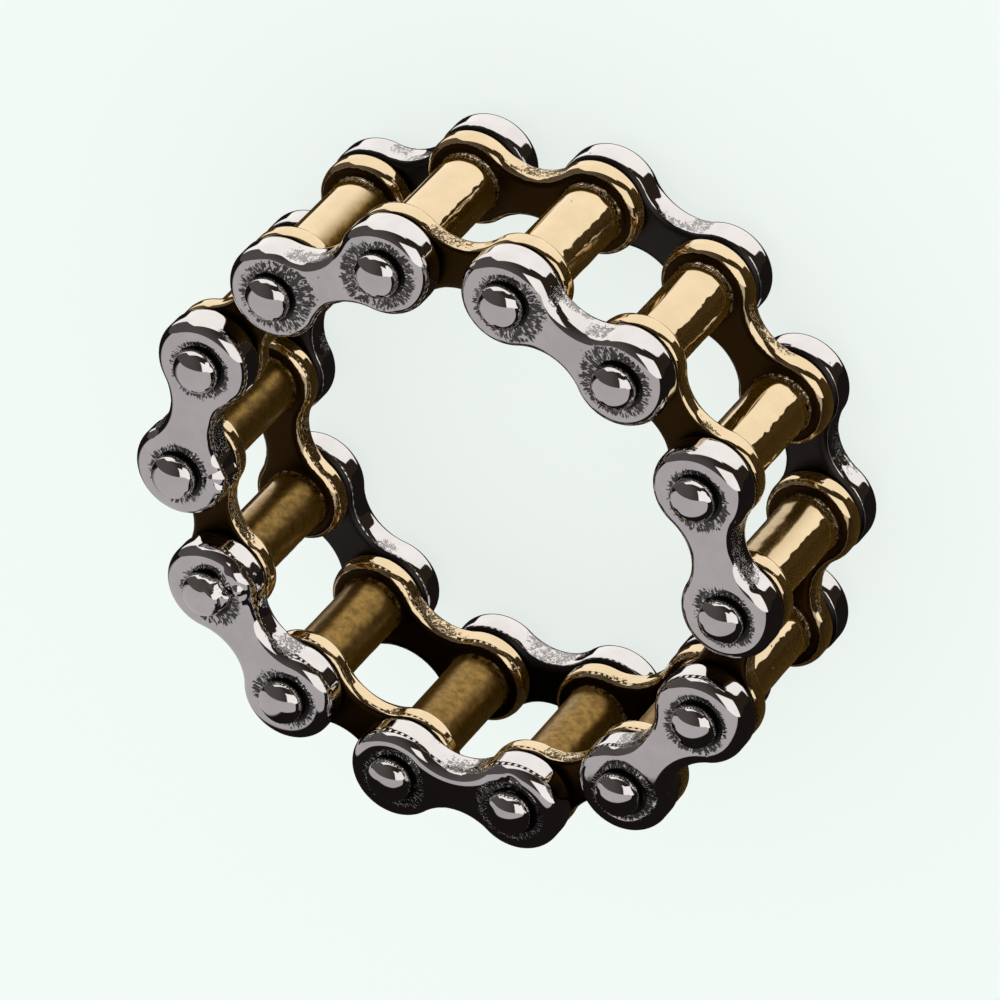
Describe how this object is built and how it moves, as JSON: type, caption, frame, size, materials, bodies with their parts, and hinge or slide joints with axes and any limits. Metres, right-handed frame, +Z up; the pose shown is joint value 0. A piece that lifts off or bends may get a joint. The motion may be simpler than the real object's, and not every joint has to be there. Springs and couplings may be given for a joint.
{
  "type": "roller chain finger ring",
  "caption": "Finger ring in the form of a closed roller chain: silver outer links, gold inner links with rollers, and domed rivets.",
  "frame": {"origin": "on the ring's axis, at the height of the lower rivet heads' tops, on which the ring lies", "axes": "+Z up along the finger; +X through two opposite rivets; an inner link is centred on -Y and an outer link on +Y"},
  "size_m": [0.0274, 0.0268, 0.0114],
  "materials": {
    "silver_plate": "polished silver-coloured steel with rounded edges, dark chiselled rings round the rivet heads and cast pits in the waists",
    "gold_link": "polished pale gold plating on cast steel, pitted in the waists and bronze in the shade",
    "silver_rivet": "polished silver-coloured steel dome with fine scratches"
  },
  "bodies": {
    "root": {"outer_plate_front_1": "silver_plate", "outer_plate_front_2": "silver_plate", "outer_plate_front_3": "silver_plate", "outer_plate_front_4": "silver_plate", "outer_plate_front_5": "silver_plate", "outer_plate_front_6": "silver_plate", "outer_plate_front_7": "silver_plate", "outer_plate_back_1": "silver_plate", "outer_plate_back_2": "silver_plate", "outer_plate_back_3": "silver_plate", "outer_plate_back_4": "silver_plate", "outer_plate_back_5": "silver_plate", "outer_plate_back_6": "silver_plate", "outer_plate_back_7": "silver_plate", "inner_link_1": "gold_link", "inner_link_2": "gold_link", "inner_link_3": "gold_link", "inner_link_4": "gold_link", "inner_link_5": "gold_link", "inner_link_6": "gold_link", "inner_link_7": "gold_link", "rivet_1": "silver_rivet", "rivet_2": "silver_rivet", "rivet_3": "silver_rivet", "rivet_4": "silver_rivet", "rivet_5": "silver_rivet", "rivet_6": "silver_rivet", "rivet_7": "silver_rivet", "rivet_8": "silver_rivet", "rivet_9": "silver_rivet", "rivet_10": "silver_rivet", "rivet_11": "silver_rivet", "rivet_12": "silver_rivet", "rivet_13": "silver_rivet", "rivet_14": "silver_rivet"}
  },
  "joints": []
}
